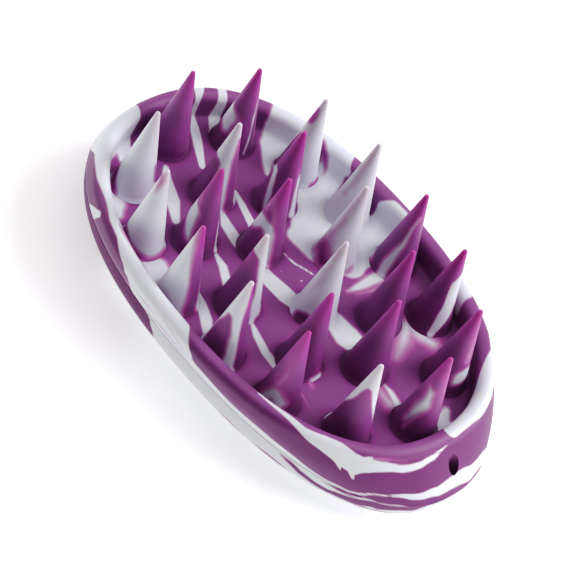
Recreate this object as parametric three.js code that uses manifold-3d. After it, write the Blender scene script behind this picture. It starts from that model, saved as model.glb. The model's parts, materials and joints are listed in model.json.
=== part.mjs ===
// A hand-held silicone curry comb: an oval tray with a rolled rim, a palm-shaped back and 24 soft
// cone teeth. Millimetres, +Z up, resting on its back. The origin is under the middle of the part,
// at the height of the surface that it rests on. The hanging hole is at the +X end.

import * as THREE from 'three';
import { mergeVertices } from 'three/addons/utils/BufferGeometryUtils.js';
import Module from 'manifold-3d';

// ---- driving dimensions ----

const COMB_LENGTH = 130; // over the back, from end to end
const BACK_WIDTH = 68.4; // of the back at the parting line
const HOLE_END_REACH = 3.2; // how much further the back reaches at the end with the hanging hole
const RIM_LENGTH = 118.4; // over the outside of the rolled rim
const RIM_WIDTH = 78.4;
const RIM_ROLL_RADIUS = 2.1; // of the rounding along the top of the rim
const WALL_BULGE = 0.7; // of the side wall, halfway up from the parting line to the rim
const OVAL_POWER = 2.3; // 2 is an ellipse, and more is squarer

const PARTING_HEIGHT = 12.4; // of the mould parting line above the resting surface
const FLOOR_HEIGHT = 18.2; // of the tray floor
const RIM_HEIGHT = 25.9; // of the top of the rim
const TOOTH_LENGTH = 27.1; // from the tray floor to the tip

const BACK_POWER = 2.6; // roundness of the back's section
const RESTING_FLAT_SHARE = 0.35; // the flat spot on the back, as a share of the back's outline
const BEAD_PROUD = 0.25; // the parting line is a thin bead
const BEAD_HALF_HEIGHT = 0.4;

const TOOTH_ROOT_RADIUS = 5.6;
const TOOTH_TIP_RADIUS = 0.65;
const SOCKET_GAP = 0.4; // round each tooth's ball-shaped root, so that it can lean

const HANGING_HOLE_RADIUS = 1.65;
const HANGING_HOLE_TO_END = 4.1; // from the hole's axis to the end of the back

// Where the teeth stand in one quarter of the tray, from its middle. The other quarters mirror it.
const TEETH_IN_A_QUARTER = {
  rim_tooth: [[48.5, 0], [41.8, 16.4], [26.4, 25.6], [9, 28.5]],
  inner_tooth: [[30, 0], [20.6, 13.3], [0, 16.2]],
  centre_tooth: [[10.7, 0]],
};

// Facets.
const OVAL_STEPS = 72;
const BACK_STEPS = 6;
const WALL_STEPS = 4;
const ROLL_STEPS = 6;
const TOOTH_SIDES = 14;
const TOOTH_ARC_STEPS = 4;
const HOLE_SIDES = 16;

// ---- worked-out places ----

const trayCentreX = -HOLE_END_REACH / 2;
const rimOuter = { halfLength: RIM_LENGTH / 2, halfWidth: RIM_WIDTH / 2 };
const backOuter = {
  halfLength: (COMB_LENGTH - HOLE_END_REACH) / 2 - BEAD_PROUD,
  halfWidth: BACK_WIDTH / 2,
};
const rollCentreHeight = RIM_HEIGHT - RIM_ROLL_RADIUS;
const holeX = COMB_LENGTH / 2 - HANGING_HOLE_TO_END;

// ---- materials ----

const purpleSilicone = () =>
  new THREE.MeshStandardMaterial({ color: 0x8c4687, roughness: 0.45, metalness: 0 });
const paleSilicone = () =>
  new THREE.MeshStandardMaterial({ color: 0xdcd8e0, roughness: 0.45, metalness: 0 });

// ---- solids ----

const wasm = await Module();
wasm.setup();

function toSolid(geometry) {
  const plain = geometry.clone();
  plain.deleteAttribute('normal');
  plain.deleteAttribute('uv');
  const merged = mergeVertices(plain, 1e-4);
  return new wasm.Manifold(new wasm.Mesh({
    numProp: 3,
    vertProperties: new Float32Array(merged.getAttribute('position').array),
    triVerts: new Uint32Array(merged.getIndex().array),
  }));
}

function toGeometry(solid) {
  const mesh = solid.getMesh();
  const geometry = new THREE.BufferGeometry();
  geometry.setAttribute('position', new THREE.BufferAttribute(mesh.vertProperties, 3));
  geometry.setIndex(new THREE.BufferAttribute(mesh.triVerts, 1));
  geometry.computeVertexNormals();
  return geometry;
}

// A LatheGeometry turns about +Y, so it is stood up along +Z.
function latheAlongZ(profile, sides) {
  return new THREE.LatheGeometry(profile, sides).rotateX(Math.PI / 2);
}

// A point on an oval (a superellipse), at an angle from the +X end.
function ovalPoint(halfLength, halfWidth, power, angle) {
  const bulge = (value) => Math.sign(value) * Math.abs(value) ** (2 / power);
  return new THREE.Vector2(halfLength * bulge(Math.cos(angle)), halfWidth * bulge(Math.sin(angle)));
}

// ---- body ----

// The body's outlines from the resting flat up the outside, over the rim and down to the tray floor.
// reach is how much of the extra reach at the hanging hole an outline has.
function bodyOutlines() {
  const outlines = [];
  for (let i = 0; i <= BACK_STEPS; i += 1) {
    const turn = (i / BACK_STEPS) * (Math.PI / 2);
    const spread = Math.sin(turn) ** (2 / BACK_POWER);
    const rise = 1 - Math.cos(turn) ** (2 / BACK_POWER);
    const share = RESTING_FLAT_SHARE + (1 - RESTING_FLAT_SHARE) * spread;
    outlines.push({
      halfLength: backOuter.halfLength * share,
      halfWidth: backOuter.halfWidth * share,
      height: (PARTING_HEIGHT - BEAD_HALF_HEIGHT) * rise,
      reach: share,
    });
  }
  outlines.push({
    halfLength: backOuter.halfLength + BEAD_PROUD,
    halfWidth: backOuter.halfWidth + BEAD_PROUD,
    height: PARTING_HEIGHT,
    reach: 1,
  });
  const wallFoot = PARTING_HEIGHT + BEAD_HALF_HEIGHT;
  for (let i = 0; i < WALL_STEPS; i += 1) {
    const climb = i / WALL_STEPS;
    const bulge = WALL_BULGE * Math.sin(Math.PI * climb);
    outlines.push({
      halfLength: THREE.MathUtils.lerp(backOuter.halfLength, rimOuter.halfLength, climb) + bulge,
      halfWidth: THREE.MathUtils.lerp(backOuter.halfWidth, rimOuter.halfWidth, climb) + bulge,
      height: THREE.MathUtils.lerp(wallFoot, rollCentreHeight, climb),
      reach: 1 - climb,
    });
  }
  for (let i = 0; i <= ROLL_STEPS; i += 1) {
    const turn = (i / ROLL_STEPS) * Math.PI;
    const inset = RIM_ROLL_RADIUS * (1 - Math.cos(turn));
    outlines.push({
      halfLength: rimOuter.halfLength - inset,
      halfWidth: rimOuter.halfWidth - inset,
      height: rollCentreHeight + RIM_ROLL_RADIUS * Math.sin(turn),
      reach: 0,
    });
  }
  const rollInner = outlines[outlines.length - 1];
  outlines.push({ ...rollInner, height: FLOOR_HEIGHT });
  return outlines;
}

// A lathe of as many rings as there are outlines, each ring then moved out to its oval.
function bodyBlank() {
  const outlines = bodyOutlines();
  const last = outlines.length - 1;
  const profile = [
    new THREE.Vector2(0, outlines[0].height),
    ...outlines.map((outline) => new THREE.Vector2(outline.halfLength, outline.height)),
    new THREE.Vector2(0, outlines[last].height),
  ];
  const geometry = new THREE.LatheGeometry(profile, OVAL_STEPS);
  const position = geometry.getAttribute('position');
  for (let step = 0; step <= OVAL_STEPS; step += 1) {
    const angle = ((step % OVAL_STEPS) / OVAL_STEPS) * 2 * Math.PI;
    for (let ring = 0; ring < profile.length; ring += 1) {
      const index = step * profile.length + ring;
      const onAxis = ring === 0 || ring === profile.length - 1;
      if (onAxis) {
        position.setXYZ(index, trayCentreX, 0, profile[ring].y);
      } else {
        const outline = outlines[ring - 1];
        const reach = Math.cos(angle) > 0 ? HOLE_END_REACH * outline.reach : 0;
        const point = ovalPoint(outline.halfLength + reach, outline.halfWidth, OVAL_POWER, angle);
        position.setXYZ(index, trayCentreX + point.x, point.y, outline.height);
      }
    }
  }
  return geometry;
}

function socketCutter(place) {
  const ball = new THREE.SphereGeometry(TOOTH_ROOT_RADIUS + SOCKET_GAP, TOOTH_SIDES, 2 * TOOTH_ARC_STEPS);
  return ball.rotateX(Math.PI / 2).translate(place.x, place.y, FLOOR_HEIGHT);
}

function hangingHoleCutter() {
  const drill = new THREE.CylinderGeometry(
    HANGING_HOLE_RADIUS, HANGING_HOLE_RADIUS, 2 * RIM_HEIGHT, HOLE_SIDES);
  return drill.rotateX(Math.PI / 2).translate(holeX, 0, 0);
}

function combBody(toothPlaces) {
  const cutters = toothPlaces.map(socketCutter);
  cutters.push(hangingHoleCutter());
  let solid = toSolid(bodyBlank());
  for (const cutter of cutters) {
    solid = solid.subtract(toSolid(cutter));
  }
  const mesh = new THREE.Mesh(toGeometry(solid), purpleSilicone());
  mesh.name = 'comb_body';
  return mesh;
}

// ---- teeth ----

// A ball-shaped root below the tray floor, a straight cone and a round tip.
function toothProfile() {
  const profile = [];
  for (let i = 0; i <= TOOTH_ARC_STEPS; i += 1) {
    const turn = (i / TOOTH_ARC_STEPS) * (Math.PI / 2);
    profile.push(new THREE.Vector2(TOOTH_ROOT_RADIUS * Math.sin(turn), -TOOTH_ROOT_RADIUS * Math.cos(turn)));
  }
  const tipCentre = TOOTH_LENGTH - TOOTH_TIP_RADIUS;
  for (let i = 0; i <= TOOTH_ARC_STEPS / 2; i += 1) {
    const turn = (i / (TOOTH_ARC_STEPS / 2)) * (Math.PI / 2);
    profile.push(new THREE.Vector2(
      TOOTH_TIP_RADIUS * Math.cos(turn),
      tipCentre + TOOTH_TIP_RADIUS * Math.sin(turn),
    ));
  }
  profile[0].x = 0;
  profile[profile.length - 1].x = 0;
  return profile;
}

function tooth(name, place) {
  const mesh = new THREE.Mesh(latheAlongZ(toothProfile(), TOOTH_SIDES), paleSilicone());
  mesh.name = name;
  mesh.position.set(place.x, place.y, FLOOR_HEIGHT);
  return mesh;
}

// ---- tooth places, in rings that go anticlockwise from the hanging hole's end ----

function mirroredRing(quarter) {
  const otherEnd = quarter.filter(([x]) => x > 0).reverse().map(([x, y]) => [-x, y]);
  const farHalf = [...quarter, ...otherEnd];
  const nearHalf = farHalf.filter(([, y]) => y > 0).reverse().map(([x, y]) => [x, -y]);
  return [...farHalf, ...nearHalf].map(([x, y]) => new THREE.Vector2(trayCentreX + x, y));
}

// ---- assembly ----

const comb = new THREE.Group();
const toothPlaces = [];
for (const [prefix, quarter] of Object.entries(TEETH_IN_A_QUARTER)) {
  mirroredRing(quarter).forEach((place, index) => {
    toothPlaces.push(place);
    comb.add(tooth(`${prefix}_${String(index + 1).padStart(2, '0')}`, place));
  });
}
comb.add(combBody(toothPlaces));

export default comb;
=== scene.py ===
# The looks of a silicone curry comb: a tray with a rolled rim and 24 cone teeth, moulded in two colours
# that were swirled together. Lengths are in millimetres here and become metres where a mesh is made.

import json
import math

import bpy
import numpy as np
from mathutils import Matrix, Vector
from mathutils.kdtree import KDTree


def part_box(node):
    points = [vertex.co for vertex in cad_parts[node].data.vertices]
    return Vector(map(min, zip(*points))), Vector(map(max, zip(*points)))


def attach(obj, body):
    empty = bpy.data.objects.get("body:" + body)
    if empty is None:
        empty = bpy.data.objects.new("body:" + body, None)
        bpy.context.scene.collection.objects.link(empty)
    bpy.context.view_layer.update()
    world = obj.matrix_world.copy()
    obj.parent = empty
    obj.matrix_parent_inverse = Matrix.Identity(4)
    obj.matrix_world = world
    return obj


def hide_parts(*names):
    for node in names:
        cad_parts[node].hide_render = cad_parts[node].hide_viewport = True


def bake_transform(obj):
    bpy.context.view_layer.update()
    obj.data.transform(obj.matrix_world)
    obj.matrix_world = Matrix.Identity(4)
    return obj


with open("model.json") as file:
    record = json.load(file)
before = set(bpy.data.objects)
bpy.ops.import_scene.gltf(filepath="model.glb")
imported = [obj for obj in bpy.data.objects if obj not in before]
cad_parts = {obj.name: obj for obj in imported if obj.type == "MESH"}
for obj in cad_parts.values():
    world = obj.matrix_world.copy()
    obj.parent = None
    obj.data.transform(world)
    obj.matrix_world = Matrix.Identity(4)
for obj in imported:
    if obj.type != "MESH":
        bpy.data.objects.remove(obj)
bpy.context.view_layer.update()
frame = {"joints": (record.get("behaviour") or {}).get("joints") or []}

MM = 0.001

# ---- the comb's shape, from the frame where the frame says it ----

body_low, body_high = (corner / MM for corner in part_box("comb_body"))
TEETH = {joint["child"]: Vector(joint["pos_m"]) / MM for joint in frame["joints"]}  # each tooth's foot
FLOOR = next(iter(TEETH.values())).z
TOOTH_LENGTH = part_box("rim_tooth_01")[1].z / MM - FLOOR
RIM_TOP = body_high.z
COMB_LENGTH = body_high.x - body_low.x
RIM_WIDTH = body_high.y - body_low.y

HOLE_END_REACH = 3.2  # how much further the back reaches at the end with the hanging hole
TRAY_CENTRE_X = -HOLE_END_REACH / 2
RIM_LENGTH = 118.4
BACK_WIDTH = 68.4
OVAL_POWER = 2.3  # 2 is an ellipse, and more is squarer
ROLL_RADIUS = 2.1  # of the rounding along the top of the rim
WALL_BULGE = 0.7  # of the side wall, halfway up
PARTING = 12.4  # the height of the mould parting line, which is a thin bead
BEAD_PROUD = 0.15
BEAD_HALF = 0.4
BACK_POWER = 2.6  # roundness of the back's section
FLAT_SHARE = 0.35  # the resting flat, as a share of the back's outline
FLOOR_FILLET = 1.2
HOLE_RADIUS = 1.65
HOLE_TO_END = 4.1  # from the hole's axis to the end of the back
HOLE_X = COMB_LENGTH / 2 - HOLE_TO_END

ROOT_RADIUS = 5.6
ROOT_FLARE = 0.55  # how much wider a tooth is where it meets the floor
FLARE_HEIGHT = 1.3
TIP_RADIUS = 0.65
TIP_CENTRE = TOOTH_LENGTH - TIP_RADIUS
ROOT_DEPTH = 1.5  # how far a tooth's mesh goes down into the body

# ---- how fine the meshes are ----

OVAL_STEPS = 480
FLOOR_RINGS = 62
FIRST_FLOOR_RING = 0.02  # as a share of the floor's edge
FILLET_RINGS = 6
INNER_WALL_RINGS = 8
ROLL_RINGS = 15
OUTER_WALL_RINGS = 18
BEAD_RINGS = 6
BACK_RINGS = 44
FLAT_RINGS = 14
HOLE_SIDES = 48
SHARP_ANGLE = math.radians(40)  # the hanging hole's edge is sharper than this, and the rest is smooth

TOOTH_SIDES = 80
FLARE_RINGS = 7
CONE_RINGS = 48
TIP_RINGS = 7

# ---- the silicone's colours, as red, green and blue on a screen ----
# A ramp goes from 0, a painted shade where a tooth meets the floor and low on each tooth, through the
# plain colours near 0.5, to 1, a painted glow of light through a tooth's tip. The outside has colours of
# its own.

PURPLE_RAMP = [
    (0.0, (88, 22, 82)),
    (0.3, (138, 68, 134)),
    (0.5, (136, 80, 134)),
    (0.65, (158, 86, 151)),
    (0.8, (170, 72, 154)),
    (1.0, (190, 62, 154)),
]
WHITE_RAMP = [
    (0.0, (204, 200, 219)),
    (0.2, (212, 210, 223)),
    (0.45, (232, 235, 243)),
    (0.75, (224, 223, 230)),
    (1.0, (226, 206, 218)),
]
# The outside's colours paint shade on the outer walls: the purple much deeper, the white about as it is.
SHADED_OUTSIDE_PURPLE = (94, 22, 87)
SHADED_OUTSIDE_WHITE = (230, 232, 236)
CLOUD_PURPLE = (149, 97, 147)
CLOUD_WHITE = (206, 208, 219)
FRINGE_PINK = (190, 78, 162)

# How the two colours meet. Across an edge, 0.5 is its middle, less is in the purple and more is in the
# white, and 1 more is EDGE_SPAN edge softnesses further in.
EDGE_SPAN = 4
RAGGEDNESS = 0.4  # the noise in an edge, in edge softnesses
WHITE_SHARE = [(0.34, 0), (0.66, 1)]
FRINGE_SHARE = [(0.2, 0), (0.45, 1), (0.66, 0)]
FRINGE_STRENGTH = [(0.4, 0.3), (1.0, 0.6)]  # by how soft the edge is

ROUGHNESS = 0.44
GRAIN_ROUGHNESS = 0.10  # what the moulded grain adds at most

# ---- the painted light level of the body, and the outside's painted shade ----
# The level is close to 0, a painted shade, where a tooth meets the floor. It rises from there over the
# floor, up the wall and down the outside, to the plain colours.

BODY_LIGHT_LEVEL = 0.5
SHADE_FADES_FROM_FOOT = (-1.0, 3.5)  # it rises between these distances from the edge of a tooth's foot
SHADE_FADES_ABOVE_FLOOR = (0, 5)  # or between these heights above the floor
SHADE_FADES_BELOW_FLOOR = (0.1, 1)  # or between these depths below it

OUTSIDE_BELOW_FLOOR = (0.1, 2)  # the outside comes in between these depths
OUTSIDE_BEYOND_RIM = (1.02, 1.12)  # or between these ovals, where 1 is along the top of the rim
FAR_SIDE_SHADE = 0.7  # the outside's share of painted shade on the far side, where the near side has 1

# ---- light and camera ----

# Azimuth from +X towards +Y and elevation in degrees, and power in watts.
LIGHTS = [
    ("key", 45, 42, 13.5),
    ("hole_end", 0, 18, 2.2),
    ("far_end", 180, 18, 8),
    ("top", 0, 88, 4),
]
LIGHT_DISTANCE = 1.2  # in metres, as are the next two
LIGHT_SIZE = 0.9
STUDIO_FLOOR_SIZE = 1.6  # no more, because a floor gets darker further out, and low views would show it
WORLD_STRENGTH = 0.13

# The photograph's tones against a plain render's: its darks are deeper, and its lights are lower.
TONES = [(0.045, 0.025), (0.22, 0.24), (0.5, 0.53), (0.85, 0.815)]

# The camera that was fitted to the photograph.
CAMERA_PLACE = (186.6, -315.0, 428.0)
CAMERA_AIM = (2.9, -4.1, 22.0)
CAMERA_ROLL = math.radians(24.9)
CAMERA_LENS = 139.7

# ---- marbling ----
# A stroke is a brush mark of one colour: how soft its edge is, and its places with the brush's radius at
# each. The strokes of a list go on in order, over a purple or a white ground. Where a radius is 0 or
# less, the mark doesn't reach its own colour, and leaves only a pink haze.

WHITE = 1
PURPLE = -1
LIMIT = 4.0  # how far inside a stroke still counts, in edge softnesses
SMALL = 1e-9  # keeps a stroke of one place from a division by zero

# The tray's strokes are on a flat map of it, measured from its middle. The floor is in its true place,
# and the wall, the rim and the outside are folded out flat round it.
TRAY_STROKES = [
    # below the parting line, round the near side and the hanging hole's end
    (WHITE, 0.3, [(-4, -62, 3.6), (10, -62, 4), (26, -60.5, 4.2), (42, -56.5, 4.4), (58, -48.5, 4.4),
                  (70, -37, 4.4), (78, -22, 3.8), (82, -6, 3.6), (82, 10, 3.2), (78, 26, 3.2)]),
    (PURPLE, 0.3, [(33, -54.4, 0.2), (45, -52.8, 0.8), (54.7, -48.3, 1.1), (62.5, -41.3, 1.3),
                   (68.4, -34, 1.3), (72.4, -27, 1.1), (75.6, -19, 0.9), (77.6, -9, 0.7),
                   (78.3, 0, 0.6), (77.6, 10, 0.6)]),
    # the outside of the hanging hole's end
    (WHITE, 0.25, [(71, 27, 1.6), (72.6, 18, 1.9), (74.7, 8, 1.9), (75, 0, 1.8), (74.9, -8, 1.3),
                   (73.3, -14, 1), (70.6, -20.5, 0.8), (67.6, -27, 0.2)]),
    (WHITE, 0.25, [(68.2, -25, 0.2), (65.4, -31, 0.3), (61.7, -37, 0.4), (57, -41.6, 0.4),
                   (51.5, -45.6, 0.6), (45, -49, 1.3), (36, -51.6, 2.4), (28, -53.5, 3.4),
                   (18, -55.5, 5), (6, -56, 6), (-4, -56, 6)]),
    (WHITE, 0.25, [(27, -39.8, 0.3), (34, -38.4, 0.6), (41, -36.4, 1), (46, -34.3, 2), (51, -32.7, 2.9),
                   (55, -31.3, 2.9), (57.8, -28.6, 1.9), (61, -24.2, 1.1), (64.2, -18.5, 0.8),
                   (66.6, -11, 0.65), (67.3, -6, 0.55), (66.4, -1, 0.3)]),
    (WHITE, 0.9, [(57.5, -26.5, 0), (60.5, -21.5, -0.2), (63.5, -15.5, -0.5)]),
    (WHITE, 0.2, [(57.6, -25.2, 0.2), (56.6, -28.5, 0.8)]),
    (WHITE, 0.25, [(55.2, -32.8, 1.6), (56.6, -35, 0.6)]),
    (WHITE, 0.2, [(51.4, -34.8, 0.8), (52.6, -36.2, 0.4)]),
    # the rim, from the hanging hole's far side
    (WHITE, 0.3, [(43, 37, 0.6), (48, 34, 1.4), (52.5, 28.9, 2.7), (57, 21.8, 3.3), (60.2, 14, 3.1),
                  (62.2, 7, 2.8), (63.3, 2.4, 2.3)]),
    (WHITE, 0.8, [(59, 9, 3), (55, 7, 3), (51, 6, 2)]),
    (WHITE, 0.5, [(26, 42.5, 2.2), (28.6, 39.5, 2.4), (29.6, 36, 1.7), (29.8, 32.5, 0.7)]),
    # the outside of the far side, which the photograph doesn't show
    (WHITE, 0.3, [(58, 38, 0.4), (46, 47, 1.2), (32, 52, 1.8), (16, 55, 1.4), (0, 56.5, 0.5)]),
    (WHITE, 0.3, [(40, 57, 0.5), (24, 61.5, 2), (6, 63.5, 2.6), (-12, 63, 2), (-30, 60, 1),
                  (-40, 57, 0.3)]),
    (WHITE, 0.3, [(-8, 50, 0.3), (-20, 52, 1), (-34, 51, 1.6), (-48, 46, 1.2), (-58, 39, 0.3)]),
    # far side and floor
    (WHITE, 0.7, [(-41, 37, 5), (-39, 30, 3.6), (-36, 25, 3), (-32, 20.5, 1.5), (-28.5, 17.6, 0.6)]),
    (WHITE, 0.7, [(-34, 36, 3), (-33.5, 29, 2), (-33, 24, 1)]),
    (WHITE, 0.7, [(-38, 38, 5), (-28, 42, 4.4), (-20, 43, 4), (-20.5, 38, 4)]),
    (WHITE, 0.5, [(-22, 36, 4), (-20, 31, 5), (-15, 25, 8.6), (-5, 22, 12), (1, 28, 8), (0, 36, 3)]),
    (WHITE, 0.7, [(-9, 13, 3.4), (-3, 13, 3.6), (3.4, 18, 4.4)]),
    # partly a purple mark and partly a painted shade on the far wall beside a tooth
    (PURPLE, 1.2, [(-28, 38.5, 1), (-25.6, 36.6, 1.2), (-23.5, 34, 0.4), (-22, 31, -0.4)]),
    (PURPLE, 0.35, [(-13.2, 47.5, 6.6), (-12.6, 43.6, 6.2), (-11.4, 40.5, 5), (-11.2, 37, 5),
                    (-11.2, 34, 4.4)]),
    (PURPLE, 0.5, [(-16.6, 36, 0.7), (-16.6, 32, 0.3), (-15.4, 28, 0)]),
    (PURPLE, 0.3, [(-7, 47.3, 3.2), (4, 47.4, 3.2), (14, 45.6, 4)]),
    (WHITE, 0.4, [(-2.6, 33, 2.6), (-2.8, 38, 2.8), (-0.6, 40.4, 3), (1.6, 40.6, 3), (2, 35, 3.4)]),
    (WHITE, 1.1, [(11.4, 13.5, -0.2), (12.8, 18.5, 0.1), (13.4, 23, 0.1)]),
    (WHITE, 1, [(9.7, 11.5, 0.1), (9.8, 15, 1.1), (10.2, 19, 1.6), (10.6, 23, 1.7)]),
    (PURPLE, 0.6, [(8.4, 22.5, 0.1), (8.3, 17, 0.4), (8.5, 11.5, 0.9)]),
    (WHITE, 0.3, [(-62.5, 17, 2.4), (-58.8, 14.2, 1), (-54, 12.2, 0.8), (-50, 10.3, 1.2),
                  (-45, 7.6, 1.3), (-38.6, 4.1, 0.8)]),
    (WHITE, 0.35, [(-57.5, 23.4, 1.5), (-53.5, 20.4, 1.6), (-50, 17, 1.6), (-46.5, 13.2, 0.6)]),
    (WHITE, 0.35, [(-42.3, -4.8, 0.6), (-38.5, -7.5, 1.4), (-33, -9.8, 1.8), (-27, -13.3, 0.9)]),
    (WHITE, 0.3, [(-28.5, 5.8, 0.6), (-24, 4.9, 1), (-18, 3.3, 1.1), (-14, 1, 1)]),
    (WHITE, 0.35, [(-25.5, -1.2, 0.3), (-21, -2.9, 1.5), (-15.4, -3.7, 1.7), (-11, -4.4, 1)]),
    (WHITE, 0.2, [(-7, 5.4, 0.1), (-3, 5.3, 0.3), (2, 7.2, 0.25)]),
    (WHITE, 0.25, [(2.2, 3.2, 0.3)]),
    (WHITE, 0.3, [(-2.6, 1, 0.25)]),
    (WHITE, 0.35, [(-7.5, -2, 0.6), (-2, -3.4, 2.1), (4, -3.3, 2.4), (9, -2.5, 2)]),
    (WHITE, 0.6, [(10, 0, 2.5), (16, 2.5, 3), (20.5, 2.8, 3.7), (24, 3.5, 3)]),
    (WHITE, 2.6, [(25.5, 19, 1.8), (28.6, 15, 1.5), (31.5, 10, 0.5)]),
    (WHITE, 2.2, [(26.5, 19, 1.2), (29.5, 19.6, 1.6), (33.5, 20.5, 1.2)]),
    (WHITE, 0.6, [(35, 1.4, 0.1), (38.2, 1.2, 0.7), (42.5, -0.2, 0.9)]),
    (WHITE, 2, [(36, -0.6, 0.3), (41, -1.6, 1)]),
    (WHITE, 0.4, [(-16, -11, 0.3), (-11, -12, 1.1), (-6, -14.6, 1.2), (-1, -17.5, 0.9)]),
    (WHITE, 0.35, [(-8, -22.5, 0.3), (-4.5, -24, 1.2), (0, -26, 1.5), (3.5, -28.4, 1)]),
    (WHITE, 0.35, [(5.5, -16, 0.3), (9.5, -17.8, 0.9), (14, -19.2, 1.1), (18.5, -19.4, 1.1),
                   (24, -18.5, 0.8)]),
    (WHITE, 1.6, [(25.5, -14.6, 0.3), (28, -15.2, -0.2)]),
    (WHITE, 0.6, [(28, -19, -0.1), (33, -19.6, -0.2)]),
    (WHITE, 0.8, [(49.8, 10.5, 1), (51.6, 7.5, 1.9), (54, 2.5, 2.2)]),
    (WHITE, 1.5, [(40, -14, 0), (43.5, -11.5, 0.4)]),
    (WHITE, 1.2, [(-43.5, -22.5, 2), (-39, -24, 2.6), (-36, -25.5, 1.4)]),
    (WHITE, 1, [(-22.5, -27.5, 1.6), (-18.5, -26.8, 3), (-15.5, -28, 2.8)]),
    # the near rim, white from the far end round to the middle
    (WHITE, 0.3, [(-61, -11.3, 4.2), (-58.5, -17.5, 4.6), (-54, -24.5, 4.6), (-48, -30.3, 4.2),
                  (-41, -34.6, 3.5), (-33, -38, 2.9), (-25, -41, 3.2), (-15, -44, 4.6),
                  (-4, -45.5, 4)]),
    (WHITE, 0.8, [(-57, -12, 3.6), (-53.5, -16, 4), (-49, -21, 4), (-43, -24.5, 4), (-39, -25.5, 2.4)]),
    (WHITE, 0.4, [(-66, -7.5, 4), (-61, -9, 4), (-55.5, -12, 4), (-51, -13, 2.6)]),
    (WHITE, 0.35, [(-68, -10, 6), (-66.5, -17, 5.5), (-63, -22.5, 5), (-58, -26, 3)]),
    (PURPLE, 0.35, [(-70, 0.5, 5.2), (-64, 0.5, 5.4), (-57, -2, 5.4), (-51, -4, 5)]),
    # painted shade: a dark crescent on the floor in the gap between the wall and rim_tooth_09's foot
    (PURPLE, 0.6, [(-51.6, -14.4, 0.2), (-50, -16.2, 1.2), (-48.6, -17.6, 1.9), (-46.6, -20.2, 1.4),
                   (-43.6, -21.6, 0.6)]),
    (WHITE, 0.3, [(-14, -46, 4), (-9, -52, 7), (4, -53, 5.5)]),
    (WHITE, 0.3, [(-6, -42.6, 3), (-1, -42.7, 3), (1.4, -45.6, 3.2), (4.4, -49, 3.6)]),
    # partly purple and partly a painted shade down the near rim's inner side
    (PURPLE, 1, [(-31.5, -38.2, -0.3), (-28, -38.6, 0.6), (-20, -39.6, 0.5)]),
    (PURPLE, 0.3, [(-64.5, -31.5, 3.4), (-56, -32.4, 3.8), (-47.6, -37.6, 4), (-39.7, -41.1, 4),
                   (-33.4, -44, 3.8), (-28.2, -45.3, 4), (-21.6, -47, 2.4)]),
    (WHITE, 0.3, [(-36.3, -41.6, 1.1), (-40, -43.6, 2.1), (-45, -46.6, 2.8), (-50, -48.4, 2.6)]),
    # pale wisps where the white ends on the near side
    (PURPLE, 0.8, [(-20, -50, -0.6), (-10, -48.5, 0.1), (-2, -50, -0.5)]),
    (PURPLE, 1.2, [(-14, -53.6, -0.4), (-4, -51.4, 0.1), (4, -52.6, 0)]),
    (PURPLE, 0.6, [(-6, -46.4, -0.3), (0, -47.6, 0.1), (5, -50, 0.1)]),
    (PURPLE, 1.2, [(-9, -57.6, -0.4), (-3, -55.6, 0), (4, -56, -0.3)]),
    # below the parting line at the far end
    (PURPLE, 0.3, [(-70, -30, 6), (-56, -44, 5), (-42, -52.6, 4.8), (-30, -56.6, 4), (-20, -58.6, 3),
                   (-11, -59.4, 2)]),
    # the outside of the far end
    (PURPLE, 0.3, [(-71, 12, 4), (-71, 0, 4), (-75, -9, 4), (-76, -20, 4), (-71.5, -30, 4.4),
                   (-65, -34, 4)]),
]

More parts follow.
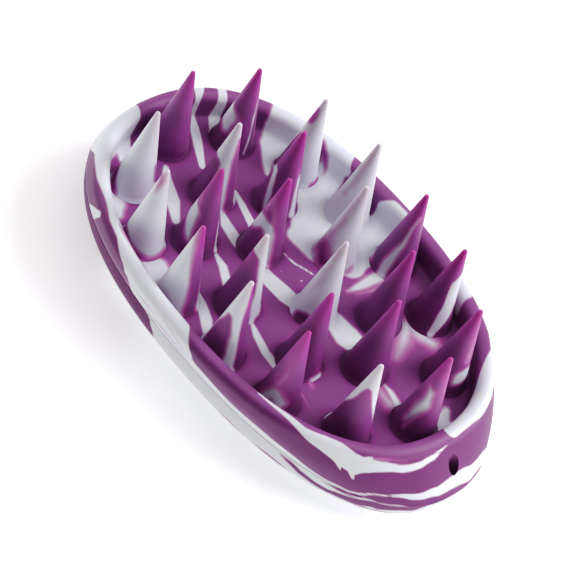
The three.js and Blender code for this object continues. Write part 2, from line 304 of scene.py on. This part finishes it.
# A tooth's strokes are at a direction, in degrees from the side that faces the photograph's camera, and a
# height.
FRONT = -60  # that side's own direction, from +X
STEPS_BETWEEN_MARKS = 4  # so that a stroke bends round the cone
TOOTH_MARBLING = {
    "rim_tooth_01": (PURPLE, [
        (WHITE, 1.3, [(-40, 18, -0.3), (-6, 16, 0.8), (-12, 12, 1.4), (-24, 8.5, 1.1), (-36, 5, 0.2)]),
        (WHITE, 1, [(-6, 11, 0.5), (-14, 8, 0.3), (-26, 3, -0.2)]),
        (WHITE, 2.5, [(70, 22, -1.2), (80, 14, -1.2)]),
    ]),
    "rim_tooth_02": (PURPLE, [
        (WHITE, 1, [(34, 4.6, 1), (50, 6, 2.2), (72, 6.5, 2.4)]),
        (WHITE, 3, [(60, 11, -0.6), (66, 20, -1.6)]),
    ]),
    "rim_tooth_03": (PURPLE, [
        (WHITE, 0.35, [(20, 0.3, 0.8), (38, 6, 1.8), (57, 12, 2.2), (72, 16.6, 2), (90, 18.6, 1.4)]),
    ]),
    "rim_tooth_04": (PURPLE, [
        (WHITE, 0.8, [(38, 20.5, 0.2), (20, 18, 0.3), (0, 13.5, 0.5), (-8, 9, 0.8), (-15, 4, 1.2),
                      (-16, 0, 1.3)]),
        (WHITE, 1.5, [(-95, 0, 2.2)]),
    ]),
    "rim_tooth_05": (WHITE, [
        # painted shade: a mauve band down the side away from the light
        (PURPLE, 5, [(-20, 24, -2.4), (-38, 17, -1.8), (-44, 9, -2)]),
    ]),
    "rim_tooth_06": (WHITE, [
        (PURPLE, 0.8, [(-40, 24, 0.3), (-52, 22, 1), (-66, 19.8, 1.3), (-80, 18.6, 0.6)]),
        (PURPLE, 0.6, [(-84, 1, 1.2), (-72, 8, 0.9), (-68, 14, 0.4)]),
        (PURPLE, 1, [(60, 0, 0.7), (90, 0, 0.9)]),
    ]),
    "rim_tooth_07": (PURPLE, [
        (WHITE, 1.3, [(-92, 10, 3.6), (-60, 9.8, 3.2), (-36, 7, 1.4)]),
        (WHITE, 0.3, [(80, 17, 0.2), (64, 9, 0.35), (50, 1, 0.25)]),
        (WHITE, 2, [(84, 14, -0.8), (78, 20, -1)]),
    ]),
    "rim_tooth_08": (PURPLE, []),
    "rim_tooth_09": (WHITE, [
        # painted shade round the foot, most on the left side away from the light
        (PURPLE, 1.2, [(-116, 2, 2.2), (-98, 4, 2.2), (-84, 4, 1.8), (-60, 2, 1.5), (-34, 0.4, 1)]),
        (PURPLE, 0.8, [(92, 10, 0.5), (92, 5, 0.8)]),
        (PURPLE, 3, [(-60, 24, -1.8), (0, 25, -1.8)]),
    ]),
    "rim_tooth_10": (WHITE, [
        # a painted purple shade all round the foot
        (PURPLE, 1.4, [(-100, 3, 2), (-55, 3, 1.8), (-12, 1.2, 1.4), (40, 0, 1), (90, 0, 1)]),
        (PURPLE, 2, [(-60, 25.5, 0), (-10, 24, 0.2), (-20, 21.5, -0.1), (-45, 18, -1.2)]),
    ]),
    "rim_tooth_11": (WHITE, [
        (PURPLE, 1, [(84, 27, 1.3), (76, 20, 2), (70, 12, 2.3), (62, 5, 2.2), (56, 0, 2.2)]),
        (PURPLE, 3, [(-60, 25, -1), (0, 24, -1)]),
    ]),
    "rim_tooth_12": (WHITE, [
        (PURPLE, 0.7, [(-36, 14.8, 1.1), (-38, 10, 2.8), (-35, 5, 3.9), (-34, 0, 4.6)]),
        (PURPLE, 0.5, [(80, 26, 0.4), (78, 20, 1.1), (80, 12, 2.2), (86, 5, 3.3), (88, 0, 3.9)]),
    ]),
    "rim_tooth_13": (PURPLE, [
        (WHITE, 1.3, [(-38, 4, 1), (-10, 6.6, 1.8), (12, 5, 1.4), (-10, 2, 2)]),
        (WHITE, 3, [(-20, 9, -0.8), (-10, 14, -1.4), (-10, 19, -2)]),
    ]),
    "rim_tooth_14": (WHITE, [
        (PURPLE, 0.5, [(6, 19.2, 0.9), (4, 15, 2.5), (-2, 10, 4.8), (-4, 5, 7), (-4, 0, 9)]),
        (PURPLE, 0.5, [(60, 0, 3.4), (100, 0, 2.6)]),
    ]),
    "inner_tooth_01": (PURPLE, []),
    "inner_tooth_02": (PURPLE, [
        (WHITE, 1, [(-92, 16, -0.2), (-66, 15, -0.3)]),
    ]),
    "inner_tooth_03": (WHITE, [
        # painted shade at the lower left of the foot, and a mauve band of painted shade down the side
        # away from the light
        (PURPLE, 2.5, [(-75, 3, 2), (-50, 4.6, 2.4), (-25, 2, 2.6)]),
        (PURPLE, 5, [(-30, 23, -2), (-42, 15, -1.4), (-50, 8, -0.4)]),
        (PURPLE, 2, [(50, 0.5, 0.1), (66, 1, 0.3)]),
    ]),
    "inner_tooth_04": (PURPLE, [
        (WHITE, 0.5, [(-95, 12, 1), (-64, 12.3, 1), (-44, 10, 0.9), (-26, 6, 0.8), (-16, 2, 0.5)]),
        (WHITE, 0.6, [(84, 13.5, 0.5), (74, 8, 0.9), (70, 1, 1.2)]),
        (WHITE, 2.5, [(70, 16, -1), (60, 10, -1.2)]),
    ]),
    "inner_tooth_05": (WHITE, [
        (PURPLE, 0.7, [(-78, 12.2, 3.3), (-46, 13.8, 1.5), (-56, 7, 3.4), (-56, 0, 4.2),
                       (-102, 1, 3.4)]),
        (PURPLE, 0.8, [(92, 22, 0.9), (82, 16, 1.6), (72, 8, 2), (70, 1, 2.2)]),
    ]),
    "inner_tooth_06": (PURPLE, [
        (WHITE, 1.1, [(-97, 12.2, 3), (-64, 11.8, 2.6), (-38, 8.6, 1.7), (-14, 4.6, 0.6)]),
        (WHITE, 2.2, [(-90, 18, -0.4), (-60, 16.5, -0.4), (-30, 12, -0.4)]),
        (WHITE, 0.5, [(98, 10, 0.3), (94, 5, 0.9), (86, 0.5, 0.8)]),
    ]),
    "inner_tooth_07": (WHITE, [
        (PURPLE, 0.6, [(-54, 19.6, 1.9), (-30, 19.2, 2), (-34, 13, 4.2), (-34, 6, 5.4), (-38, 0, 6),
                       (-104, 1, 3)]),
        (PURPLE, 0.7, [(70, 0, 0.8), (110, 0, 0.8)]),
    ]),
    "inner_tooth_08": (PURPLE, [
        (WHITE, 0.8, [(52, 0, 0.8), (72, 0, 1)]),
        (WHITE, 2, [(66, 3, -0.8)]),
    ]),
    "centre_tooth_01": (WHITE, [
        # painted shade at the foot's left, and a mauve band of painted shade down the side away from the
        # light
        (PURPLE, 0.9, [(-30, 0.8, 2), (-12, 2, 1.4)]),
        (PURPLE, 5, [(-30, 24, -2), (-42, 16, -1.6), (-46, 9, -2.2)]),
    ]),
    "centre_tooth_02": (PURPLE, [
        (WHITE, 1.1, [(-98, 9.6, 2.6), (-73, 11, 2.4), (-44, 12.4, 1.7), (-8, 12, 1.5), (14, 9.6, 1.2),
                      (30, 4, 0.8), (36, 0, 0.5)]),
        (WHITE, 2.4, [(-70, 16, 0), (-50, 20, -0.4), (-10, 17.5, -0.2), (14, 14, -0.4)]),
    ]),
}

# The back's strokes are at their true places seen from above, measured from the middle of the tray. They
# show below the first of these heights, and the tray's strokes above the second.
BACK_STROKES_HEIGHTS = (6, 11)
BACK_STROKES = [
    (WHITE, 0.5, [(-30, -22, 5), (-5, -24, 10), (25, -24, 8), (48, -18, 7), (60, -4, 3), (61, 8, 3)]),
    (WHITE, 0.4, [(-60, 10, 2), (-44, 4, 3.5), (-24, 2, 4), (-4, 6, 3), (14, 14, 2.4), (34, 17, 3),
                  (52, 12, 2)]),
    (PURPLE, 0.5, [(-28, -20, 0.4), (-8, -16, 1.8), (12, -17, 1.3), (30, -12, 0.4)]),
    (WHITE, 0.3, [(-50, 22, 1), (-34, 24, 2.4), (-16, 27, 1.8), (2, 30, 2.6), (20, 31, 1)]),
    (PURPLE, 0.5, [(-32, 4, 0.3), (-18, 1, 1.2), (-6, 4, 0.3)]),
    (WHITE, 0.8, [(-48, -14, 1.5), (-36, -10, 2), (-20, -10, 0.6)]),
]

# A stroke's edges wander in smooth waves. These are the waves' size and how far they shift an edge.
TRAY_WANDER = {"size": 9, "shift": 0.35}
BACK_WANDER = {"size": 11, "shift": 1}
TOOTH_WANDER = {"size": 5, "shift": 0.2}
WAVE_FINENESS = (1, 2.3)  # there are two sets of waves, and the finer one shifts less
WAVE_TILT = (0.9, 1.7)  # a wave goes by all the axes, between these shares of each
WAVE_PHASE = 1.7  # between the waves that shift one axis and the next


def inside_stroke(points, places, edge):
    """How far each point is inside a brush mark, counted in edge softnesses."""
    deepest = np.full(len(points), -LIMIT)
    marks = np.array(places, float)
    if len(marks) == 1:
        marks = np.repeat(marks, 2, axis=0)
    for start, end in zip(marks[:-1], marks[1:]):
        along = end[:-1] - start[:-1]
        share = np.clip((points - start[:-1]) @ along / max(along @ along, SMALL), 0, 1)
        centre = start[:-1] + share[:, None] * along
        radius = start[-1] + share * (end[-1] - start[-1])
        depth = radius - np.linalg.norm(points - centre, axis=1)
        deepest = np.maximum(deepest, depth / edge)
    return deepest


def paint(points, ground, strokes):
    """The marbling at each point, above 0 where it's white and below 0 where it's purple, counted in edge
    softnesses, and the softness of the stroke that is there."""
    field = np.full(len(points), ground * LIMIT)
    softness = np.zeros(len(points))
    for colour, edge, places in strokes:
        depth = inside_stroke(points, places, edge)
        covered = depth > colour * field
        field[covered] = colour * depth[covered]
        softness[covered] = edge
    return np.clip(field, -LIMIT, LIMIT), softness


def wander(points, size, shift):
    """Moves points a little, so that a brush mark's edge isn't drawn with a ruler."""
    moved = points.copy()
    axes = points.shape[1]
    for axis in range(axes):
        direction = np.roll(np.linspace(*WAVE_TILT, axes), axis)
        for fineness in WAVE_FINENESS:
            wave = points @ direction * fineness / size
            moved[:, axis] += shift / fineness * np.sin(wave + WAVE_PHASE * axis + fineness)
    return moved


# ---- meshes ----

def smoothstep(value, low, high):
    t = np.clip((value - low) / (high - low), 0, 1)
    return t * t * (3 - 2 * t)


def superellipse(half_length, half_width, turn):
    c, s = np.cos(turn), np.sin(turn)
    x = half_length * np.sign(c) * np.abs(c) ** (2 / OVAL_POWER)
    y = half_width * np.sign(s) * np.abs(s) ** (2 / OVAL_POWER)
    return x, y


def superellipse_normal(half_length, half_width, turn):
    c, s = np.cos(turn), np.sin(turn)
    x = np.sign(c) * np.abs(c) ** (2 - 2 / OVAL_POWER) / half_length
    y = np.sign(s) * np.abs(s) ** (2 - 2 / OVAL_POWER) / half_width
    size = np.hypot(x, y)
    return x / size, y / size


def ring_mesh(name, rings, first_centre, last_centre):
    """A closed mesh of rings with the same number of points, closed by a fan at each end."""
    count, sides = len(rings), len(rings[0])
    points = np.vstack([np.concatenate(rings), [first_centre], [last_centre]]) * MM
    ring, side = np.meshgrid(np.arange(count - 1), np.arange(sides), indexing="ij")
    here = ring * sides + side
    beside = ring * sides + (side + 1) % sides
    quads = np.stack([here, beside, beside + sides, here + sides], -1).reshape(-1, 4)
    first, last = count * sides, count * sides + 1
    end = (count - 1) * sides
    faces = quads.tolist()
    for i in range(sides):
        after = (i + 1) % sides
        faces.append((first, after, i))
        faces.append((last, end + i, end + after))
    mesh = bpy.data.meshes.new(name)
    mesh.from_pydata(points.tolist(), [], faces)
    mesh.update()
    mesh.polygons.foreach_set("use_smooth", [True] * len(mesh.polygons))
    piece = bpy.data.objects.new(name, mesh)
    bpy.context.scene.collection.objects.link(piece)
    return piece


def set_attribute(piece, name, values):
    kind = "FLOAT_VECTOR" if np.ndim(values) == 2 else "FLOAT"
    attribute = piece.data.attributes.new(name, kind, "POINT")
    key = "vector" if kind == "FLOAT_VECTOR" else "value"
    attribute.data.foreach_set(key, np.asarray(values, np.float32).ravel())


def mesh_points(piece):
    points = np.zeros(len(piece.data.vertices) * 3, np.float32)
    piece.data.vertices.foreach_get("co", points)
    return points.reshape(-1, 3) / MM


# ---- body ----

def body_profile():
    """Rows of half length, half width, height and reach, from the floor's edge over the rim to the back.
    Reach is how much of the extra reach at the hanging hole a row has."""
    rim = np.array([RIM_LENGTH, RIM_WIDTH]) / 2
    back = np.array([(COMB_LENGTH - HOLE_END_REACH) / 2 - BEAD_PROUD, BACK_WIDTH / 2])
    inner = rim - 2 * ROLL_RADIUS
    roll_height = RIM_TOP - ROLL_RADIUS
    rows = []

    # the fillet at the edge of the floor, and the inner wall
    for turn in np.linspace(0, math.pi / 2, FILLET_RINGS):
        inset = FLOOR_FILLET * (1 - math.sin(turn))
        rows.append((*(inner - inset), FLOOR + FLOOR_FILLET * (1 - math.cos(turn)), 0))
    for height in np.linspace(FLOOR + FLOOR_FILLET, roll_height, INNER_WALL_RINGS)[1:]:
        rows.append((*inner, height, 0))

    # over the rim and down the outer wall
    for turn in np.linspace(0, math.pi, ROLL_RINGS)[1:]:
        half = rim - ROLL_RADIUS * (1 + math.cos(turn))
        rows.append((*half, roll_height + ROLL_RADIUS * math.sin(turn), 0))
    for climb in np.linspace(1, 0, OUTER_WALL_RINGS)[1:]:
        half = back + (rim - back) * climb + WALL_BULGE * math.sin(math.pi * climb)
        height = PARTING + BEAD_HALF + (roll_height - PARTING - BEAD_HALF) * climb
        rows.append((*half, height, 1 - climb))

    # the parting line's bead
    for turn in np.linspace(0, math.pi, BEAD_RINGS)[1:-1]:
        half = back + BEAD_PROUD * math.sin(turn)
        rows.append((*half, PARTING + BEAD_HALF * math.cos(turn), 1))

    # the rounded back, down to its resting flat
    for turn in np.linspace(math.pi / 2, 0, BACK_RINGS):
        spread = math.sin(turn) ** (2 / BACK_POWER)
        fall = (1 - max(math.cos(turn), 0) ** (2 / BACK_POWER)) * (PARTING - BEAD_HALF)
        share = FLAT_SHARE + (1 - FLAT_SHARE) * spread
        rows.append((*(back * share), fall, share))
    flat = back * FLAT_SHARE
    for share in np.linspace(1, 0, FLAT_RINGS)[1:-1]:
        rows.append((*(flat * share), 0, FLAT_SHARE * share))
    return np.array(rows)


def body_rings():
    """The body's rings from the middle of the floor to the middle of the back, with each point's place on
    the tray's flat map."""
    turn = np.linspace(0, 2 * math.pi, OVAL_STEPS, endpoint=False)
    profile = body_profile()
    edge_length, edge_width = profile[0, :2]
    edge = np.stack(superellipse(edge_length, edge_width, turn), -1)
    outward = np.stack(superellipse_normal(edge_length, edge_width, turn), -1)
    rings, places = [], []
    for share in np.linspace(FIRST_FLOOR_RING, 1, FLOOR_RINGS)[:-1]:
        ring = edge * share
        height = np.full(OVAL_STEPS, FLOOR)
        rings.append(np.column_stack([ring[:, 0] + TRAY_CENTRE_X, ring[:, 1], height]))
        places.append(ring)
    # the rest is folded out, so a row's distance from the floor's edge is measured along the profile
    step = np.hypot(np.diff(profile[:, :2].mean(1)), np.diff(profile[:, 2]))
    travelled = np.concatenate([[0], np.cumsum(step)])
    for (half_length, half_width, height, reach), distance in zip(profile, travelled):
        reached = half_length + np.where(np.cos(turn) > 0, HOLE_END_REACH * reach, 0)
        x, y = superellipse(reached, half_width, turn)
        rings.append(np.column_stack([x + TRAY_CENTRE_X, y, np.full(OVAL_STEPS, height)]))
        places.append(edge + outward * distance)
    return rings, np.concatenate(places)


def cut_hanging_hole(piece):
    bpy.ops.mesh.primitive_cylinder_add(
        vertices=HOLE_SIDES,
        radius=HOLE_RADIUS * MM,
        depth=2 * RIM_TOP * MM,
        location=(HOLE_X * MM, 0, 0),
    )
    drill = bpy.context.object
    cut = piece.modifiers.new("hanging_hole", "BOOLEAN")
    cut.operation = "DIFFERENCE"
    cut.solver = "EXACT"
    cut.object = drill
    bpy.context.view_layer.objects.active = piece
    bpy.ops.object.modifier_apply(modifier=cut.name)
    bpy.data.objects.remove(drill)
    piece.data.set_sharp_from_angle(angle=SHARP_ANGLE)


def nearest_rows(points, known):
    """For each point, the row of the nearest known point."""
    tree = KDTree(len(known))
    for row, point in enumerate(known):
        tree.insert(point, row)
    tree.balance()
    return np.array([tree.find(point)[1] for point in points])


def body_painted_light(points):
    """The painted light level here: least, a painted shade, by a tooth's foot, and rising over the floor,
    up the wall and down the outside.
    """
    feet = np.array([tuple(foot) for foot in TEETH.values()])
    gaps = np.linalg.norm(points[:, None, :2] - feet[None, :, :2], axis=2).min(1) - ROOT_RADIUS
    round_teeth = smoothstep(gaps, *SHADE_FADES_FROM_FOOT)
    above_floor = smoothstep(points[:, 2] - FLOOR, *SHADE_FADES_ABOVE_FLOOR)
    below_floor = smoothstep(FLOOR - points[:, 2], *SHADE_FADES_BELOW_FLOOR)
    return BODY_LIGHT_LEVEL * np.maximum(round_teeth, np.maximum(above_floor, below_floor))


def outside_shade_share(points):
    """The outside's painted shade: 0 in the tray, a smooth step over the rim to the outside, 1 on the
    near side.
    """
    rim_line = np.array([RIM_LENGTH, RIM_WIDTH]) / 2 - ROLL_RADIUS
    from_middle = np.abs(points[:, :2] - (TRAY_CENTRE_X, 0)) / rim_line
    beyond_rim = smoothstep((from_middle ** OVAL_POWER).sum(1), *OUTSIDE_BEYOND_RIM)
    below_floor = smoothstep(FLOOR - points[:, 2], *OUTSIDE_BELOW_FLOOR)
    near_side = smoothstep(-points[:, 1], 0, RIM_WIDTH / 2)
    strength = FAR_SIDE_SHADE + (1 - FAR_SIDE_SHADE) * near_side
    return np.maximum(beyond_rim, below_floor) * strength


def make_body(material):
    rings, places = body_rings()
    floor_centre = (TRAY_CENTRE_X, 0, FLOOR)
    back_centre = (TRAY_CENTRE_X, 0, 0)
    piece = ring_mesh("comb_body_skin", rings, floor_centre, back_centre)
    before = mesh_points(piece)
    places = np.vstack([places, [(0, 0)], places[-1:]])  # with one for each of the two centres

    # the cut makes new points, and each takes its place on the map from the nearest old one
    cut_hanging_hole(piece)
    points = mesh_points(piece)
    places = places[nearest_rows(points, before)]

    tray, softness = paint(wander(places, **TRAY_WANDER), PURPLE, TRAY_STROKES)
    from_middle = points[:, :2] - (TRAY_CENTRE_X, 0)
    back, _ = paint(wander(from_middle, **BACK_WANDER), PURPLE, BACK_STROKES)
    is_back = 1 - smoothstep(points[:, 2], *BACK_STROKES_HEIGHTS)
    set_attribute(piece, "marbling", tray + (back - tray) * is_back)
    set_attribute(piece, "softness", softness)
    set_attribute(piece, "rest_place", points)
    set_attribute(piece, "painted_light_level", body_painted_light(points))
    set_attribute(piece, "outside_shade", outside_shade_share(points))
    piece.data.materials.append(material)
    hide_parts("comb_body")
    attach(piece, "comb_body")


# ---- teeth ----

def tooth_radius(height):
    """A tooth's radius at a height or an array of heights: a cone with a flared foot and a round tip."""
    cone = ROOT_RADIUS + (TIP_RADIUS - ROOT_RADIUS) * height / TIP_CENTRE
    flare = ROOT_FLARE * np.clip(1 - height / FLARE_HEIGHT, 0, 1) ** 2
    dome = np.sqrt(np.clip(TIP_RADIUS ** 2 - (height - TIP_CENTRE) ** 2, 0, None))
    return np.where(height > TIP_CENTRE, dome, cone + flare)


def tooth_places(strokes):
    """A tooth's strokes with their places put on the cone, in short steps, measured from its foot."""
    placed = []
    for colour, edge, marks in strokes:
        marks = np.array(marks, float)
        last = len(marks) - 1
        steps = np.linspace(0, last, STEPS_BETWEEN_MARKS * last + 1)
        angle, height, brush = (np.interp(steps, np.arange(len(marks)), column) for column in marks.T)
        turn = np.radians(angle + FRONT)
        radius = tooth_radius(height)
        places = np.column_stack([radius * np.cos(turn), radius * np.sin(turn), height, brush])
        placed.append((colour, edge, places))
    return placed


def tooth_rings():
    """A tooth's rings from its root to its tip, measured from its foot."""
    heights = np.concatenate([
        [-ROOT_DEPTH],
        np.linspace(0, FLARE_HEIGHT, FLARE_RINGS),
        np.linspace(FLARE_HEIGHT, TIP_CENTRE, CONE_RINGS)[1:],
        TIP_CENTRE + TIP_RADIUS * np.sin(np.linspace(0, math.pi / 2, TIP_RINGS))[1:-1],
    ])
    turn = np.linspace(0, 2 * math.pi, TOOTH_SIDES, endpoint=False)[::-1]
    rings = []
    for height in heights:
        radius = tooth_radius(max(height, 0.0))
        x, y = radius * np.cos(turn), radius * np.sin(turn)
        rings.append(np.column_stack([x, y, np.full(TOOTH_SIDES, height)]))
    return rings


def make_tooth(node, material):
    foot = TEETH[node]
    floor_place = np.array(foot)
    ground, strokes = TOOTH_MARBLING[node]
    rings = [ring + floor_place for ring in tooth_rings()]
    root = floor_place + (0, 0, -ROOT_DEPTH)
    tip = floor_place + (0, 0, TOOTH_LENGTH)
    piece = ring_mesh(f"{node}_skin", rings, root, tip)
    points = mesh_points(piece)
    local = points - floor_place
    marbling, softness = paint(wander(local, **TOOTH_WANDER), ground, tooth_places(strokes))
    set_attribute(piece, "marbling", marbling)
    set_attribute(piece, "softness", softness)
    set_attribute(piece, "rest_place", points)
    # painted shade low on the tooth, and a painted glow of light through its tip
    set_attribute(piece, "painted_light_level", local[:, 2] / TOOTH_LENGTH)
    set_attribute(piece, "outside_shade", np.zeros(len(points)))
    piece.data.materials.append(material)
    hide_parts(node)
    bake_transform(piece)


# ---- material ----

def linear(red, green, blue):
    """A screen colour, 0 to 255, as the linear colour that shaders take, by the sRGB formula."""
    share = [value / 255 for value in (red, green, blue)]
    return (*(v / 12.92 if v <= 0.04045 else ((v + 0.055) / 1.055) ** 2.4 for v in share), 1)


def grey(value):
    return (value, value, value, 1)


def screen_stops(ramp):
    return [(position, linear(*colour)) for position, colour in ramp]


def grey_stops(ramp):
    return [(position, grey(value)) for position, value in ramp]


# A Mix node has these sockets for colours.
MIX_FACTOR = 0
MIX_FIRST = 6
MIX_SECOND = 7
MIX_RESULT = 2


class Nodes:
    """Short ways to add shader nodes to one material."""

    def __init__(self, material):
        self.tree = material.node_tree

    def add(self, kind, inputs=None, **settings):
        node = self.tree.nodes.new(kind)
        for name, value in settings.items():
            setattr(node, name, value)
        for name, value in (inputs or {}).items():
            self.feed(node.inputs[name], value)
        return node

    def feed(self, socket, value):
        if isinstance(value, bpy.types.NodeSocket):
            self.tree.links.new(value, socket)
        else:
            socket.default_value = value

    def maths(self, operation, *values):
        node = self.add("ShaderNodeMath", operation=operation)
        for socket, value in zip(node.inputs, values):
            self.feed(socket, value)
        return node.outputs[0]

    def noise(self, place, scale, distortion=0.0):
        inputs = {"Vector": place, "Scale": scale, "Detail": 2.0, "Distortion": distortion}
        return self.add("ShaderNodeTexNoise", inputs).outputs["Fac"]

    def ramp(self, value, stops):
        node = self.add("ShaderNodeValToRGB", {"Fac": value})
        elements = node.color_ramp.elements
        while len(elements) < len(stops):
            elements.new(0.5)
        for element, (position, colour) in zip(elements, stops):
            element.position = position
            element.color = colour
        return node.outputs["Color"]

    def attribute(self, name, output="Fac"):
        return self.add("ShaderNodeAttribute", attribute_name=name).outputs[output]

    def mix(self, share, first, second):
        node = self.add("ShaderNodeMix", data_type="RGBA")
        self.feed(node.inputs[MIX_FACTOR], share)
        self.feed(node.inputs[MIX_FIRST], first)
        self.feed(node.inputs[MIX_SECOND], second)
        return node.outputs[MIX_RESULT]


def marbled_colour(make, place):
    """Purple and white by the marbling, with a pink fringe between them."""
    # painted shade and glow by the ramp's level, and the outside's painted shade
    painted_light_level = make.attribute("painted_light_level")
    outside_shade = make.attribute("outside_shade")
    cloud = make.noise(place, scale=0.07, distortion=0.6)

    def shade(ramp, outside_shade_colour, cloud_colour, cloudiness):
        colour = make.ramp(painted_light_level, screen_stops(ramp))
        colour = make.mix(outside_shade, colour, linear(*outside_shade_colour))
        return make.mix(make.maths("MULTIPLY", cloud, cloudiness), colour, linear(*cloud_colour))

    purple = shade(PURPLE_RAMP, SHADED_OUTSIDE_PURPLE, CLOUD_PURPLE, cloudiness=0.45)
    white = shade(WHITE_RAMP, SHADED_OUTSIDE_WHITE, CLOUD_WHITE, cloudiness=0.5)

    noise = make.noise(place, scale=0.28)
    ragged = make.maths("MULTIPLY_ADD", noise, RAGGEDNESS, -RAGGEDNESS / 2)
    marbling = make.maths("ADD", make.attribute("marbling"), ragged)
    edge = make.maths("MULTIPLY_ADD", marbling, 1 / EDGE_SPAN, 0.5)
    colour = make.mix(make.ramp(edge, grey_stops(WHITE_SHARE)), purple, white)

    fringe = make.ramp(edge, grey_stops(FRINGE_SHARE))
    strength = make.ramp(make.attribute("softness"), grey_stops(FRINGE_STRENGTH))
    return make.mix(make.maths("MULTIPLY", fringe, strength), colour, linear(*FRINGE_PINK))


def marbled_silicone():
    material = bpy.data.materials.new("marbled_silicone")
    material.use_nodes = True
    make = Nodes(material)
    place = make.attribute("rest_place", "Vector")
    grain = make.noise(place, scale=3.0)
    bump = make.add("ShaderNodeBump", {"Height": grain, "Distance": 0.03 * MM, "Strength": 0.35})
    looks = {
        "Base Color": marbled_colour(make, place),
        "Roughness": make.maths("MULTIPLY_ADD", grain, GRAIN_ROUGHNESS, ROUGHNESS),
        "Normal": bump.outputs["Normal"],
        "IOR": 1.41,
        "Sheen Weight": 0.04,
        "Sheen Roughness": 0.35,
        "Sheen Tint": (1, 0.85, 1, 1),
        "Subsurface Weight": 0.15,
        "Subsurface Radius": (1.0, 0.45, 0.85),
        "Subsurface Scale": 1.5 * MM,
    }
    shader = material.node_tree.nodes["Principled BSDF"]
    for name, value in looks.items():
        make.feed(shader.inputs[name], value)
    return material


# ---- scene ----

def make_floor():
    """A pale floor that glows a little, so that it's close to white and the comb's shadow is soft."""
    bpy.ops.mesh.primitive_plane_add(size=STUDIO_FLOOR_SIZE, location=(0, 0, 0))
    floor = bpy.context.object
    floor.name = "floor"
    material = bpy.data.materials.new("pale_floor")
    material.use_nodes = True
    shader = material.node_tree.nodes["Principled BSDF"]
    shader.inputs["Base Color"].default_value = grey(0.9)
    shader.inputs["Roughness"].default_value = 0.8
    shader.inputs["Emission Color"].default_value = grey(1)
    shader.inputs["Emission Strength"].default_value = 0.42
    floor.data.materials.append(material)


def area_light(name, azimuth, elevation, power):
    """A soft light that looks at the comb."""
    a, e = math.radians(azimuth), math.radians(elevation)
    direction = Vector((math.cos(a) * math.cos(e), math.sin(a) * math.cos(e), math.sin(e)))
    place = direction * LIGHT_DISTANCE
    data = bpy.data.lights.new(name, "AREA")
    data.shape = "SQUARE"
    data.size = LIGHT_SIZE
    data.energy = power
    light = bpy.data.objects.new(name, data)
    light.location = place
    light.rotation_euler = (-place).to_track_quat("-Z", "Y").to_euler()
    bpy.context.scene.collection.objects.link(light)


def make_lights():
    for name, azimuth, elevation, power in LIGHTS:
        area_light(name, azimuth, elevation, power)


def make_world():
    """A weak white light from all round, which the camera itself sees as plain white."""
    world = bpy.data.worlds.new("studio")
    world.use_nodes = True
    background = world.node_tree.nodes["Background"]
    background.inputs["Color"].default_value = grey(1)
    seen = world.node_tree.nodes.new("ShaderNodeLightPath").outputs["Is Camera Ray"]
    strength = world.node_tree.nodes.new("ShaderNodeMapRange")
    strength.inputs["To Min"].default_value = WORLD_STRENGTH
    world.node_tree.links.new(seen, strength.inputs["Value"])
    world.node_tree.links.new(strength.outputs["Result"], background.inputs["Strength"])
    bpy.context.scene.world = world


def set_tones():
    settings = bpy.context.scene.view_settings
    settings.view_transform = "Standard"
    settings.use_curve_mapping = True
    combined = settings.curve_mapping.curves[3]
    for plain, wanted in TONES:
        combined.points.new(plain, wanted)
    settings.curve_mapping.update()


def make_camera():
    data = bpy.data.cameras.new("camera")
    data.lens = CAMERA_LENS
    data.clip_start = 0.01
    data.clip_end = 20
    camera = bpy.data.objects.new("camera", data)
    place = Vector(CAMERA_PLACE) * MM
    aim = Vector(CAMERA_AIM) * MM
    facing = (aim - place).to_track_quat("-Z", "Y").to_matrix().to_4x4()
    roll = Matrix.Rotation(CAMERA_ROLL, 4, "Z")
    camera.matrix_world = Matrix.Translation(place) @ facing @ roll
    bpy.context.scene.collection.objects.link(camera)
    bpy.context.scene.camera = camera


make_camera()
make_world()
make_lights()
set_tones()
make_floor()
silicone = marbled_silicone()
make_body(silicone)
for node_name in TEETH:
    make_tooth(node_name, silicone)
